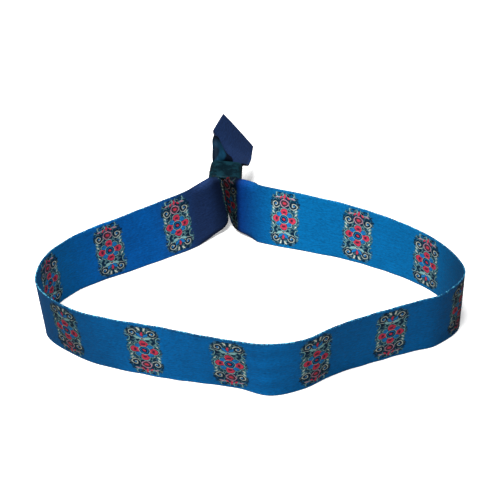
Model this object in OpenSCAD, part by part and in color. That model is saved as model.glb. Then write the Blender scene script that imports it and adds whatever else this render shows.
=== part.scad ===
// Woven wristband: one printed ribbon strip standing on its lower edge as a loop,
// both ends drawn through a small slide lock at the back and left as short tails.
// Millimetres, +Z up. X runs across the loop, Y from the wearer's side to the lock.
// The origin is on the standing plane, under the middle of the whole outline.

/* [Ribbon] */
// Width of the ribbon, which is its height where it stands
band_w = 20; // [18:0.5:22]
// Thickness of the ribbon wall
band_t = 1; // [1:0.1:1.2]
// Thickness of each end where it is bunched inside the lock
bunch_t = 1.6; // [1.4:0.1:1.6]
// Width of each end where it is bunched inside the lock
bunch_w = 6; // [5.8:0.1:6]

/* [Slide lock] */
// Width of the lock, side to side
lock_w = 10; // [9.8:0.1:10.2]
// Height of the lock
lock_h = 9.6; // [9.4:0.1:9.8]
// Length of the lock along the ribbon ends
lock_l = 8.8; // [8.2:0.1:9]
// Wall of the lock round its passage
lock_wall = 0.9; // [0.7:0.1:0.9]
// Radius of the lock's long outer edges
lock_r = 1.8; // [1.5:0.1:2]
// Height of the lock's middle above the standing plane
lock_z = 10.8; // [10.4:0.1:11]
// Angle by which the lock points to the right
lock_yaw = 6; // [4:1:8]
// Angle by which the lock's top leans to the right
lock_roll = 6; // [4:1:8]

/* [Smoothness] */
// Steps of the strip between two sections
steps = 5; // [3:1:6]
// Steps across the strip's width
steps_w = 6; // [4:1:8]

/* [Hidden] */

// The sections of the loop, from the lock round the right bend, the front and the left bend.
// x, y: place of the upper edge; flare: how far the upper edge leans out past the lower edge.
X = 0;
Y = 1;
FLARE = 2;
loop = [
    [  3.5,   6.9,  2.3],
    [ 14.7,   1.2,  2.3],
    [ 32.5,  -8.0,  0.8],
    [ 48.3, -20.1, -0.5],
    [ 54.4, -28.1, -0.6],
    [ 56.8, -38.0,  0.0],
    [ 50.5, -45.7,  1.1],
    [ 41.3, -49.4,  2.2],
    [ 22.2, -55.3,  1.9],
    [ 12.5, -59.7,  1.8],
    [  3.3, -61.3,  1.2],
    [ -6.5, -59.5,  3.0],
    [-25.3, -52.6,  1.0],
    [-44.2, -46.1,  1.3],
    [-52.5, -40.7,  1.2],
    [-58.4, -32.5,  0.0],
    [-57.4, -22.4, -0.5],
    [-51.2, -14.7, -0.3],
    [-34.2,  -4.3,  1.6],
    [-16.9,   5.8,  2.9],
];

// The sections of an end outside the lock, each as
// [upper edge x, y, z], [lower edge x, y, z], thickness, bulge outwards.
TOP = 0;
FOOT = 1;
THICK = 2;
BULGE = 3;
right_tail = [
    [[-6.0, 36.5, 25.9], [ 2.5, 41.8,  9.0], band_t, 0.3],
    [[-9.5, 32.0, 21.8], [ 0.8, 33.0,  8.2], band_t, 1.0],
    [[-9.8, 28.2, 15.5], [-1.2, 28.4, 11.2], band_t, 0.6],
];
right_mouth = [
    [[-5.9, 15.6, 16.2], [-5.6, 13.0,  4.6], band_t, 0],
    [[-4.6, 14.0, 17.8], [-5.0, 10.6,  2.4], band_t, 0],
    [[-2.2, 11.3, 19.2], [-3.2,  8.2,  0.6], band_t, 0],
];
left_mouth = [
    [[-11.3, 10.5, 19.3], [-10.6,  7.5, 0.0], band_t, 0],
    [[ -9.3, 13.2, 18.0], [ -8.9,  9.3, 0.9], band_t, 0],
    [[ -8.2, 15.2, 16.6], [ -7.8, 12.0, 3.8], band_t, 0],
];
left_tail = [
    [[-9.6, 28.8, 11.4], [-2.2, 29.0, 8.0], band_t, 0.4],
    [[-9.0, 33.2, 17.5], [-1.0, 34.0, 6.5], band_t, 0.6],
];

// Middle of the lock's passage at its mouth, the way it points, and its own right and up
lock_mouth = [-7.1, 17.1, lock_z];
lock_way = [sin(lock_yaw), cos(lock_yaw), 0];
level_side = [cos(lock_yaw), -sin(lock_yaw), 0];
lock_side = level_side * cos(lock_roll) - [0, 0, sin(lock_roll)];
lock_up = level_side * sin(lock_roll) + [0, 0, cos(lock_roll)];
lock_mid = lock_mouth + lock_way * (lock_l / 2);
passage_w = lock_w - 2 * lock_wall;
passage_h = lock_h - 2 * lock_wall;
// Half the gap between the two ends, which lie side by side in the passage
bunch_gap = 0.35;
bunch_off = bunch_t / 2 + bunch_gap;
// The ends are bunched from this far before the lock to this far short of its far face
bunch_lead = 0.6;
bunch_stop = 0.2;
// The two ends turn together by a quarter turn inside the lock
lock_turns = [0, 45, 90];
// A point lower than this is set down on the standing plane
foot_snap = 0.2;

function unit(v) = v / norm(v);
function mix(a, b, k) = a * (1 - k) + b * k;

// A loop section as a full section: the lower edge stands on the plane at z = 0
function loop_way(i) = let(
    a = loop[max(i - 1, 0)],
    b = loop[min(i + 1, len(loop) - 1)]
) unit([b[X] - a[X], b[Y] - a[Y]]);
function stand(i) = let(
    row = loop[i],
    way = loop_way(i),
    out = [-way[Y], way[X]],
    z = sqrt(pow(band_w, 2) - pow(row[FLARE], 2)),
    foot = [row[X], row[Y]] - out * row[FLARE]
) [[row[X], row[Y], z], [foot[X], foot[Y], 0], band_t, 0];

// A section of one end inside the lock: side is 1 for the right end, -1 for the left end,
// turn is how far its upper edge has turned over to the left.
function bunch(side, k) = let(
    turn = lock_turns[k],
    along = mix(-bunch_lead, lock_l - bunch_stop, k / (len(lock_turns) - 1)),
    off = (lock_side * cos(turn) + lock_up * sin(turn)) * side * bunch_off,
    mid = lock_mouth + lock_way * along + off,
    half = (lock_up * cos(turn) - lock_side * sin(turn)) * (bunch_w / 2)
) [mid + half, mid - half, bunch_t, 0];

// All sections of the strip, from the right tail's cut end to the left tail's cut end
sections = concat(
    right_tail,
    [for (k = [2 : -1 : 0]) bunch(1, k)],
    right_mouth,
    [for (i = [0 : len(loop) - 1]) stand(i)],
    left_mouth,
    [for (k = [0 : 2]) bunch(-1, k)],
    left_tail
);

// A section's numbers in one row, so that they are interpolated together
function packed(s) = concat(s[TOP], s[FOOT], [s[THICK], s[BULGE]]);
rows = [for (s = sections) packed(s)];
last = len(rows) - 1;
function mid_of(r) = [r[0] + r[3], r[1] + r[4], r[2] + r[5]] / 2;
function gap(i) = sqrt(norm(mid_of(rows[i + 1]) - mid_of(rows[i])));

// A smooth curve through the sections, with knots spaced by the root of their distance
function between(a, b, ta, tb, t) = mix(a, b, (t - ta) / (tb - ta));
function smooth_row(i, k) = let(
    p0 = i > 0 ? rows[i - 1] : 2 * rows[0] - rows[1],
    p1 = rows[i],
    p2 = rows[i + 1],
    p3 = i + 2 <= last ? rows[i + 2] : 2 * rows[last] - rows[last - 1],
    t0 = 0,
    t1 = t0 + (i > 0 ? gap(i - 1) : gap(i)),
    t2 = t1 + gap(i),
    t3 = t2 + (i + 2 <= last ? gap(i + 1) : gap(i)),
    t = mix(t1, t2, k),
    a1 = between(p0, p1, t0, t1, t),
    a2 = between(p1, p2, t1, t2, t),
    a3 = between(p2, p3, t2, t3, t),
    b1 = between(a1, a2, t0, t2, t),
    b2 = between(a2, a3, t1, t3, t)
) between(b1, b2, t1, t2, t);
fine = concat(
    [for (i = [0 : last - 1], k = [0 : steps - 1]) smooth_row(i, k / steps)],
    [rows[last]]
);
stations = len(fine);

// The wall: points on both faces, half the thickness to each side of the strip's middle surface
function edge_top(i) = [fine[i][0], fine[i][1], fine[i][2]];
function edge_foot(i) = [fine[i][3], fine[i][4], fine[i][5]];
function travel(i) = mid_of(fine[min(i + 1, stations - 1)]) - mid_of(fine[max(i - 1, 0)]);
function outward(i) = unit(cross(travel(i), edge_foot(i) - edge_top(i)));
function on_foot(p) = p[2] < foot_snap ? [p[0], p[1], 0] : p;
function wall_point(i, j, face) = let(
    v = j / steps_w,
    bow = 4 * v * (1 - v) * fine[i][7],
    off = bow + face * fine[i][6] / 2
) on_foot(mix(edge_top(i), edge_foot(i), v) + outward(i) * off);
ring = 2 * (steps_w + 1);
wall = [
    for (i = [0 : stations - 1])
        for (k = [0 : ring - 1])
            k <= steps_w ? wall_point(i, k, 1) : wall_point(i, ring - 1 - k, -1)
];

// The middle of the outline on the plane
mid_x = (min([for (p = wall) p[0]]) + max([for (p = wall) p[0]])) / 2;
mid_y = (min([for (p = wall) p[1]]) + max([for (p = wall) p[1]])) / 2;

// Two triangles for each step along and round the wall, and a strip of quads on each cut end
function at(i, k) = i * ring + k % ring;
function cut(k) = [ring - 1 - k, ring - 2 - k, k + 1, k];
wall_faces = concat(
    [
        for (i = [0 : stations - 2], k = [0 : ring - 1], half = [0, 1])
            half == 0
                ? [at(i, k), at(i, k + 1), at(i + 1, k)]
                : [at(i + 1, k), at(i, k + 1), at(i + 1, k + 1)]
    ],
    [for (k = [0 : steps_w - 1]) [for (p = cut(k)) at(0, p)]],
    [for (k = [0 : steps_w - 1]) [for (j = [3 : -1 : 0]) at(stations - 1, cut(k)[j])]]
);

module centred() {
    translate([-mid_x, -mid_y, 0])
        children();
}

// The whole printed strip: tail, loop and tail in one piece
module ribbon_band() {
    color("royalblue")
        centred()
            polyhedron(wall, wall_faces, convexity = 10);
}

// A rectangle with round corners, made of plain squares and circles
module rounded(w, h, r) {
    square([w - 2 * r, h], center = true);
    square([w, h - 2 * r], center = true);
    for (sx = [-1, 1], sy = [-1, 1])
        translate([sx * (w / 2 - r), sy * (h / 2 - r)])
            circle(r = r, $fn = 32);
}

// The lock: a short block with round long edges and a square passage right through it
module slide_lock() {
    passage_r = 0.8;
    color("darkslategray")
        centred()
            translate(lock_mid)
                rotate([90, lock_roll, -lock_yaw])
                    linear_extrude(lock_l, center = true)
                        difference() {
                            rounded(lock_w, lock_h, lock_r);
                            rounded(passage_w, passage_h, passage_r);
                        }
}

ribbon_band();
slide_lock();
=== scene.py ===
"""Looks of a woven, printed wristband that stands on its lower edge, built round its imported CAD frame.

One strip of printed satin ribbon makes the loop. Both of its ends are rolled up, drawn side by side
through a small moulded slide lock, and open again behind it as two short tails. Lengths are
millimetres, in the same frame as the tables of the CAD source, unless a comment says otherwise. They
are moved to the row frame, and turned into metres where a mesh is made.
"""

import logging
import math
from dataclasses import dataclass, field
from enum import Enum
from itertools import product

import bmesh
import bpy
import numpy as np
from mathutils import Matrix, Vector


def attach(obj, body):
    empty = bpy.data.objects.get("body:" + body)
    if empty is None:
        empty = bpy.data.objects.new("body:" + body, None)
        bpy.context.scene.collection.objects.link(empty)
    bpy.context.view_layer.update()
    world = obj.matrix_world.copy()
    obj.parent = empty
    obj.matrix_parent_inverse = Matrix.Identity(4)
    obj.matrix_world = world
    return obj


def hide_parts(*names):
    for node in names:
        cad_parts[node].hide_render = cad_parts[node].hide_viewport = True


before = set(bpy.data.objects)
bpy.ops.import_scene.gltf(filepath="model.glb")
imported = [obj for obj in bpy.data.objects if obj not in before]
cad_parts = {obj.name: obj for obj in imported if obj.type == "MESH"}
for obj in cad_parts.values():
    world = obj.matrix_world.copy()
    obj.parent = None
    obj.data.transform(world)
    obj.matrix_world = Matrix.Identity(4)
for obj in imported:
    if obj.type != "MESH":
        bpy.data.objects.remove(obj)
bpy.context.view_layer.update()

LOG = logging.getLogger("wristband")
MM = 0.001
# What is added to a table's x and y, so that the middle of the outline is the origin
TO_ROW = np.array([0.9636, 9.8883, 0.0])
BODY = "root"
FLOAT, COLOR, GEOMETRY = "NodeSocketFloat", "NodeSocketColor", "NodeSocketGeometry"

Array = np.ndarray
Color = tuple[float, float, float, float]
Triple = tuple[float, float, float]
Pair = tuple[float, float]
Span = tuple[float, float, float, float]
PaintedShades = tuple[Triple, ...]
Sockets = dict[str, tuple[str, object]]
Feeds = dict[str | int, object]
Material = bpy.types.Material
Mesh = bpy.types.Mesh
Piece = bpy.types.Object
Tree = bpy.types.NodeTree


class RibbonFace(Enum):
    """The two faces of the ribbon; the value is the material slot of its faces."""

    OUTER = 0
    INNER = 1


class Edge(Enum):
    """The two woven edges; the value is the edge's own column of the cloth and the one beside it."""

    UPPER = (-1, -2)
    LOWER = (0, 1)


def dye(*channels: int) -> Color:
    """Turns red, green and blue as a screen shows them, 0 to 255, into a shader's linear colour."""
    shares = [channel / 255 for channel in channels]
    return (*(s / 12.92 if s <= 0.04045 else ((s + 0.055) / 1.055) ** 2.4 for s in shares), 1.0)


def grey(light: float) -> Color:
    """Returns a grey as a linear colour, from 0 for black to 1 for white."""
    return (light, light, light, 1.0)


def unit(vectors: Array) -> Array:
    """Returns the vectors, along the last axis, with length one."""
    return vectors / np.maximum(np.linalg.norm(vectors, axis=-1, keepdims=True), 1e-12)


def wall_faces(count: int, ring: int, closed: bool) -> Array:
    """Returns the quads of a wall whose points go round in rings.

    Args:
        count: How many rings there are.
        ring: How many points each one has.
        closed: Whether the last ring joins the first one.

    Returns:
        The four point numbers of each quad.
    """
    here = np.arange(count * ring).reshape(count, ring)
    ahead = np.roll(here, -1, axis=0)
    quads = np.stack([here, np.roll(here, -1, axis=1), np.roll(ahead, -1, axis=1), ahead], axis=-1)
    return (quads if closed else quads[:-1]).reshape(-1, 4)


def new_mesh(name: str, points: Array, faces: list) -> Mesh:
    """Makes a mesh.

    Args:
        name: The mesh's name.
        points: Its points, in millimetres.
        faces: The point numbers of each face.

    Returns:
        The mesh, in metres.
    """
    mesh = bpy.data.meshes.new(name)
    mesh.from_pydata((points * MM).tolist(), [], faces)
    return mesh


def write_attribute(mesh: Mesh, name: str, values: Array) -> None:
    """Writes one number or one vector for each point of a mesh.

    Args:
        mesh: The mesh.
        name: The attribute's name.
        values: A number or a vector for each point.
    """
    kind, key = ("FLOAT", "value") if values.ndim == 1 else ("FLOAT_VECTOR", "vector")
    attribute = mesh.attributes.new(name, kind, "POINT")
    attribute.data.foreach_set(key, values.astype(np.float32).ravel())


def linked(name: str, data: bpy.types.ID) -> Piece:
    """Adds an object to the scene.

    Args:
        name: The object's name.
        data: Its mesh, lamp or camera.

    Returns:
        The object, at the origin.
    """
    made = bpy.data.objects.new(name, data)
    bpy.context.scene.collection.objects.link(made)
    return made


# ---------------------------------------------------------------- node trees


@dataclass(frozen=True)
class Value:
    """One output of a node, with arithmetic that adds the nodes for it."""

    graph: "Graph"
    socket: bpy.types.NodeSocket

    def __add__(self, other: object) -> "Value":
        """Adds other."""
        return self.graph.math("ADD", self, other)

    def __sub__(self, other: object) -> "Value":
        """Takes other away."""
        return self.graph.math("SUBTRACT", self, other)

    def __mul__(self, other: object) -> "Value":
        """Multiplies by other."""
        return self.graph.math("MULTIPLY", self, other)

    def __truediv__(self, other: object) -> "Value":
        """Divides by other."""
        return self.graph.math("DIVIDE", self, other)

    def __abs__(self) -> "Value":
        """Drops the sign."""
        return self.graph.math("ABSOLUTE", self)

    def linear(self, factor: object, offset: object, clamp: bool = False) -> "Value":
        """Multiplies by factor and adds offset, and with clamp stays from 0 to 1."""
        return self.graph.math("MULTIPLY_ADD", self, factor, offset, clamp=clamp)

    def highest(self, other: object) -> "Value":
        """Returns the higher one of itself and other."""
        return self.graph.math("MAXIMUM", self, other)

    def rise(self, low: float, high: float, to_low: float = 0.0, to_high: float = 1.0) -> "Value":
        """Carries the range low to high smoothly over to to_low to to_high, and goes no further."""
        feeds = dict(enumerate((self, low, high, to_low, to_high)))
        return self.graph.out("ShaderNodeMapRange", feeds, interpolation_type="SMOOTHSTEP", clamp=True)

    def window(self, start: float, full: float, low: float, end: float) -> "Value":
        """Rises smoothly from 0 at start to 1 at full, and falls from 1 at low to 0 at end."""
        return self.rise(start, full) * self.rise(low, end, 1.0, 0.0)


class Graph:
    """A node tree and short ways to add the nodes that this file uses."""

    def __init__(self, tree: Tree) -> None:
        """Keeps the tree that nodes are added to."""
        self.tree = tree

    def feed(self, node: bpy.types.Node, feeds: Feeds) -> None:
        """Links each Value to an input of a node, and sets anything else there.

        Args:
            node: The node.
            feeds: Names or numbers of inputs, and what they get.
        """
        for name, value in feeds.items():
            if isinstance(value, Value):
                self.tree.links.new(value.socket, node.inputs[name])
            else:
                node.inputs[name].default_value = value

    def node(self, kind: str, feeds: Feeds, **settings: object) -> bpy.types.Node:
        """Adds one node.

        Args:
            kind: The node's type name.
            feeds: Names or numbers of inputs, and what they get.
            **settings: Properties to set on it.

        Returns:
            The new node.
        """
        made = self.tree.nodes.new(kind)
        for name, value in settings.items():
            setattr(made, name, value)
        self.feed(made, feeds)
        return made

    def out(self, kind: str, feeds: Feeds, output: str | int = 0, **settings: object) -> Value:
        """Adds one node and returns one of its outputs, by its name or number."""
        return Value(self, self.node(kind, feeds, **settings).outputs[output])

    def math(self, operation: str, *values: object, clamp: bool = False) -> Value:
        """Adds a Math node and returns its value."""
        return self.out("ShaderNodeMath", dict(enumerate(values)), operation=operation, use_clamp=clamp)

    def vector(self, operation: str, *values: object) -> Value:
        """Adds a Vector Math node and returns its vector, or its value where that is a number."""
        output = "Value" if operation in ("LENGTH", "DISTANCE", "DOT_PRODUCT") else "Vector"
        return self.out("ShaderNodeVectorMath", dict(enumerate(values)), output, operation=operation)

    def combine(self, *parts: object) -> Value:
        """Puts up to three numbers together as a vector."""
        return self.out("ShaderNodeCombineXYZ", dict(enumerate(parts)))

    def split(self, vector: Value) -> list[Value]:
        """Returns a vector's x, y and z."""
        made = self.node("ShaderNodeSeparateXYZ", {0: vector})
        return [Value(self, socket) for socket in made.outputs]

    def mix(self, share: object, first: object, second: object, blend: str = "MIX") -> Value:
        """Mixes two colours; share is how much of the second one shows."""
        feeds = {0: share, 6: first, 7: second}
        return self.out("ShaderNodeMix", feeds, 2, data_type="RGBA", blend_type=blend)

    def noise(
        self, place: Value, scale: float, detail: float = 2.0, roughness: float = 0.5, output: str = "Fac",
    ) -> Value:
        """Adds a Noise Texture at place and returns its value, or its colour."""
        feeds = {"Vector": place, "Scale": scale, "Detail": detail, "Roughness": roughness}
        return self.out("ShaderNodeTexNoise", feeds, output)

    def group(self, tree: Tree, **feeds: object) -> dict[str, Value]:
        """Places a node group with its inputs fed by name, and returns its outputs by name."""
        made = self.node("ShaderNodeGroup", feeds, node_tree=tree)
        return {socket.name: Value(self, socket) for socket in made.outputs}


class Group(Graph):
    """A node group with named sockets."""

    def __init__(self, name: str, inputs: Sockets, outputs: Sockets, kind: str = "ShaderNodeTree") -> None:
        """Starts the group.

        Args:
            name: The group's name.
            inputs: For each input its socket type and its value, or None for no value.
            outputs: The same for each output.
            kind: ShaderNodeTree or GeometryNodeTree.
        """
        super().__init__(bpy.data.node_groups.new(name, kind))
        for way, sockets in (("INPUT", inputs), ("OUTPUT", outputs)):
            for label, (socket_type, value) in sockets.items():
                socket = self.tree.interface.new_socket(label, in_out=way, socket_type=socket_type)
                if value is not None:
                    socket.default_value = value
        start = self.node("NodeGroupInput", {})
        self.given = {socket.name: Value(self, socket) for socket in start.outputs}
        self.result = self.node("NodeGroupOutput", {})

    def finished(self, values: dict[str, Value]) -> Tree:
        """Feeds the group's outputs by name and returns its tree."""
        self.feed(self.result, values)
        return self.tree


@dataclass(frozen=True)
class Sheen:
    """How a finish takes the light.

    Roughness is what a mask adds to it, and its value where the mask is 0. Bump is how strongly the
    height tells, and what a height of 1 is.
    """

    roughness: Pair
    specular: float
    bump: Pair


class Finish(Graph):
    """A material with its Principled shader."""

    def __init__(self, name: str) -> None:
        """Makes the material.

        Args:
            name: The material's name.
        """
        self.material = bpy.data.materials.new(name)
        self.material.use_nodes = True
        super().__init__(self.material.node_tree)
        self.shader = self.tree.nodes["Principled BSDF"]

    def object_place(self) -> Value:
        """Returns each place in the piece's own coordinates."""
        return self.out("ShaderNodeTexCoord", {}, "Object")

    def dress(self, color: Value, mask: Value, height: Value, sheen: Sheen) -> Material:
        """Feeds the shader.

        Args:
            color: The colour over the surface.
            mask: What the roughness follows.
            height: The height over the surface, from 0 to 1.
            sheen: How it takes the light.

        Returns:
            The material.
        """
        strength, depth = sheen.bump
        normal = self.out("ShaderNodeBump", {"Strength": strength, "Distance": depth * MM, "Height": height})
        roughness = mask.linear(*sheen.roughness)
        feeds = {"Base Color": color, "Roughness": roughness, "Specular IOR Level": sheen.specular}
        self.feed(self.shader, {**feeds, "Normal": normal})
        return self.material


# ---------------------------------------------------------------- the finishes


@dataclass(frozen=True)
class SatinWeave:
    """The ribbon's satin weave: fine lengthwise threads with long floats, and the streaks they give.

    Sizes are millimetres along and across the strip.
    """

    thread: float = 0.3
    float_length: float = 1.6
    # How far a thread's binding points are from its neighbour's, as a share of a float
    bind_step: float = 0.4
    # The share of a float from a binding point to full height, and the height at the point
    bind_rise: float = 0.14
    bind_height: float = 0.35
    # Layers of streaks: how far they slant, scales along and across, depth in the noise, detail,
    # roughness and share
    layers: tuple[tuple[float, ...], ...] = (
        (0.0, 0.22, 1.9, 0.0, 3.0, 0.62, 0.3),
        (0.0, 0.9, 3.6, 7.0, 2.0, 0.6, 0.4),
        (0.8, 1.5, 2.3, 5.0, 1.0, 0.5, 0.3),
    )
    contrast: Pair = (3.4, -1.2)

    def group(self) -> Tree:
        """Builds the weave's node group.

        Returns:
            The group, which puts out Height, Streak and Mottle from 0 to 1.
        """
        sizes = {"Along": 0.0, "Across": 0.0, "Thread": self.thread, "Float Length": self.float_length}
        inputs = {name: (FLOAT, value) for name, value in sizes.items()}
        group = Group("SatinWeave", inputs, dict.fromkeys(("Height", "Streak", "Mottle"), (FLOAT, None)))
        along, across, thread, float_length = (group.given[name] for name in sizes)
        row = across / thread
        round_thread = abs(group.math("SINE", row * math.pi))
        place = along / float_length + group.math("FLOOR", row) * self.bind_step
        bound = group.math("PINGPONG", place, 0.5).rise(0.0, self.bind_rise)
        height = round_thread * bound.linear(1.0 - self.bind_height, self.bind_height)
        streak: object = 0.0
        for slant, scale_along, scale_across, layer, detail, roughness, share in self.layers:
            place = group.combine(across.linear(slant, along) * scale_along, across * scale_across, layer)
            streak = group.noise(place, 1.0, detail, roughness).linear(share, streak)
        streak = streak.linear(*self.contrast, clamp=True)
        mottle = group.noise(group.combine(along, across, 3.0), 0.16, 3.0, 0.55)
        return group.finished({"Height": height, "Streak": streak, "Mottle": mottle})


@dataclass(frozen=True)
class CartoucheDyes:
    """The printing inks of the repeated cartouche."""

    ink: Color = dye(6, 30, 52)
    teal: Color = dye(12, 66, 92)
    mint: Color = dye(152, 208, 206)
    cream: Color = dye(226, 236, 220)
    leaf: Color = dye(70, 142, 150)
    coral: Color = dye(232, 62, 88)
    sky: Color = dye(34, 138, 214)
    rose: Color = dye(216, 160, 180)
    umber: Color = dye(104, 62, 58)


class Cartouche:
    """A generic upright ornament, printed again and again round the ribbon.

    It has an eight-petalled rosette in its middle, a palmette at one end and a ringed bud at the
    other, scrolls in the corners and leaf sprays along its sides. Places are x and y from its middle.
    """

    # How soft a painted edge is
    EDGE = 0.075
    HALF_WIDTH = 4.5
    HALF_HEIGHT = 9.1
    # How the panel's sides wave in and out, and where and how far they draw in at its ends
    WAVE, WAVE_DEPTH = 1.15, 0.32
    TAPER = (7.6, 9.6, 0.0, 1.6)
    # How far the noise bends the drawing, and how far it frays the panel's rim
    WOBBLE = 0.7
    RAGGED = 2.4
    # The corner scrolls by middle, turn and radius, the distance between their turns and the width of
    # their line; the arcs that tie them to the rosette by middle and radius
    SCROLLS = (((2.6, 6.7), 200.0, 1.5), ((2.9, -5.1), 120.0, 1.35))
    SCROLL_LINE = (0.85, 0.2)
    ARCS = (((4.7, 4.3), 1.2), ((4.8, -2.7), 1.15), ((1.7, -8.9), 1.25))
    # The middle of the topmost spray, and how far down the next one is
    SPRAY_PLACE, SPRAY_STEP = (4.0, 2.5), 1.35
    # How high the petals' foot is, and how far their middles are from it
    FAN_FOOT, FAN_REACH = 4.35, 1.45
    # Where the bud, the fan's knot and the rosette are
    BUD_PLACE = (0.0, -5.6)
    FAN_PLACE = (0.0, 4.25)
    MIDDLE = (0.0, 0.0)

    def __init__(self, dyes: CartoucheDyes) -> None:
        """Starts the node group, with nothing painted yet.

        Args:
            dyes: The inks that it is painted with.
        """
        self.dyes = dyes
        inputs = {"Along": (FLOAT, 0.0), "Across": (FLOAT, 0.0)}
        self.graph = Group("Cartouche", inputs, {"Color": (COLOR, None), "Ink": (FLOAT, None)})
        self.flat = self.graph.combine(*(self.graph.given[name] for name in inputs))
        self.color: object = dyes.ink
        self.ink: object = 0.0

    def group(self) -> Tree:
        """Paints the whole ornament.

        Returns:
            The group: Along and Across from the ornament's middle give Color and Ink.
        """
        vector = self.graph.vector
        shift = vector("SUBTRACT", self.graph.noise(self.flat, 0.9, 1.0, output="Color"), (0.5, 0.5, 0.5))
        bent = vector("ADD", self.flat, vector("MULTIPLY", shift, (self.WOBBLE, self.WOBBLE, 0.0)))
        self.point = vector("MULTIPLY", bent, (1.0, 1.0, 0.0))
        sideways = vector("ABSOLUTE", vector("MULTIPLY", self.point, (1.0, 0.0, 0.0)))
        self.mirrored = vector("ADD", sideways, vector("MULTIPLY", self.point, (0.0, 1.0, 0.0)))
        self.ground()
        self.scrolls()
        self.sprays()
        self.palmette()
        self.bud()
        self.rosette()
        return self.graph.finished({"Color": self.color, "Ink": self.ink})

    def paint(self, far: Value, color: object, strength: object = 1.0) -> None:
        """Paints a shape over what is there.

        Args:
            far: How far a place is outside the shape, negative inside it.
            color: The shape's ink.
            strength: How strongly it covers.
        """
        mask = far.linear(-0.5 / self.EDGE, 0.5, clamp=True) * strength
        self.color = self.graph.mix(mask, self.color, color)
        self.ink = mask.highest(self.ink)

    def disc(self, centre: Pair, radius: float) -> Value:
        """Returns how far a place is outside a disc."""
        return self.graph.vector("DISTANCE", self.mirrored, (*centre, 0.0)) - radius

    def ring(self, centre: Pair, radius: float, width: float = 0.2) -> Value:
        """Returns how far a place is outside a ring line."""
        return abs(self.disc(centre, radius)) - width / 2

    def seen_from(self, centre: Pair, degrees: float) -> Value:
        """Returns the place as seen from centre, turned back by degrees."""
        where = {"Location": (*centre, 0.0), "Rotation": (0.0, 0.0, math.radians(degrees))}
        return self.graph.out("ShaderNodeMapping", {"Vector": self.mirrored, **where}, vector_type="TEXTURE")

    def leaf(self, centre: Pair, degrees: float, long: float, wide: float) -> Value:
        """Returns how far a place is outside a pointed leaf.

        Args:
            centre: The leaf's middle.
            degrees: The way it points.
            long: Half its length.
            wide: Half its width.

        Returns:
            The distance, negative inside it.
        """
        x, y, _ = self.graph.split(self.seen_from(centre, degrees))
        x = x / long
        return (x.linear(x, abs(y) / wide) - 1.0) * wide

    def scroll(self, centre: Pair, degrees: float, radius: float, pitch: float, width: float) -> Value:
        """Returns how far a place is outside a spiral line.

        Args:
            centre: The spiral's middle.
            degrees: How far it is turned.
            radius: How far out it winds.
            pitch: The distance between its turns.
            width: The line's width.

        Returns:
            The distance, negative inside the line.
        """
        local = self.seen_from(centre, degrees)
        x, y, _ = self.graph.split(local)
        away = self.graph.vector("LENGTH", local)
        turn = self.graph.math("ARCTAN2", y, x) / (2 * math.pi)
        winding = self.graph.math("FRACT", away / pitch - turn)
        return abs(winding - 0.5).linear(pitch, -width / 2).highest(away - radius)

    def ground(self) -> None:
        """Paints the dark panel with its ragged rim, and the fine tracery all over it."""
        graph, dyes, flat = self.graph, self.dyes, self.flat
        x, y, _ = graph.split(self.mirrored)
        tall = abs(y)
        waist = graph.math("COSINE", tall * self.WAVE) * self.WAVE_DEPTH
        wide = (x + tall.rise(*self.TAPER)) - (waist + self.HALF_WIDTH)
        far = wide.highest(tall - self.HALF_HEIGHT)
        far = far + graph.noise(flat, 1.7, 3.0, 0.6).linear(self.RAGGED, -self.RAGGED / 2)
        cloud = graph.noise(flat, 0.8, 3.0, 0.6).rise(0.35, 0.7)
        holes = graph.noise(self.mirrored, 1.25, 1.0).rise(0.58, 0.64) * far.rise(-1.5, -0.6, 0.0, 0.75)
        self.paint(far, graph.mix(cloud, dyes.ink, dyes.teal), holes.linear(-1.0, 1.0))
        self.inside = far.linear(-2.5, 0.6, clamp=True)
        net_place = {"Vector": self.mirrored, "Scale": 1.05}
        net = graph.out("ShaderNodeTexVoronoi", net_place, "Distance", feature="DISTANCE_TO_EDGE")
        patchy = graph.noise(flat, 0.7, 1.0).rise(0.4, 0.62, 0.0, 0.7)
        self.paint(net - self.EDGE, dyes.mint, patchy * self.inside)

    def scrolls(self) -> None:
        """Paints the spiral scrolls in the corners and the arcs that tie them to the rosette."""
        for centre, degrees, radius in self.SCROLLS:
            self.paint(self.disc(centre, radius), self.dyes.ink, 0.8)
            self.paint(self.scroll(centre, degrees, radius, *self.SCROLL_LINE), self.dyes.cream, self.inside)
            self.paint(self.disc(centre, 0.3), self.dyes.sky)
        for centre, radius in self.ARCS:
            self.paint(self.ring(centre, radius), self.dyes.mint, self.inside)

    def sprays(self) -> None:
        """Paints the leaf sprays along both sides."""
        for number in range(5):
            x, y = self.SPRAY_PLACE
            y = y - self.SPRAY_STEP * number
            self.paint(self.leaf((x, y), 52.0, 0.8, 0.26), self.dyes.leaf, self.inside)
            self.paint(self.leaf((x - 0.3, y - 0.5), 128.0, 0.55, 0.2), self.dyes.cream, self.inside)

    def palmette(self) -> None:
        """Paints the fan of petals over the rosette."""
        dyes = self.dyes
        for degrees, color in ((90.0, dyes.coral), (56.0, dyes.sky), (22.0, dyes.mint)):
            angle = math.radians(degrees)
            middle = (self.FAN_REACH * math.cos(angle), self.FAN_FOOT + self.FAN_REACH * math.sin(angle))
            self.paint(self.leaf(middle, degrees, 1.5, 0.62), dyes.ink)
            self.paint(self.leaf(middle, degrees, 1.3, 0.46), color)
        self.paint(self.disc(self.FAN_PLACE, 0.62), dyes.cream)
        self.paint(self.disc(self.FAN_PLACE, 0.4), dyes.umber)
        self.paint(self.leaf((0.75, 8.1), 60.0, 0.8, 0.27), dyes.cream)

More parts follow.
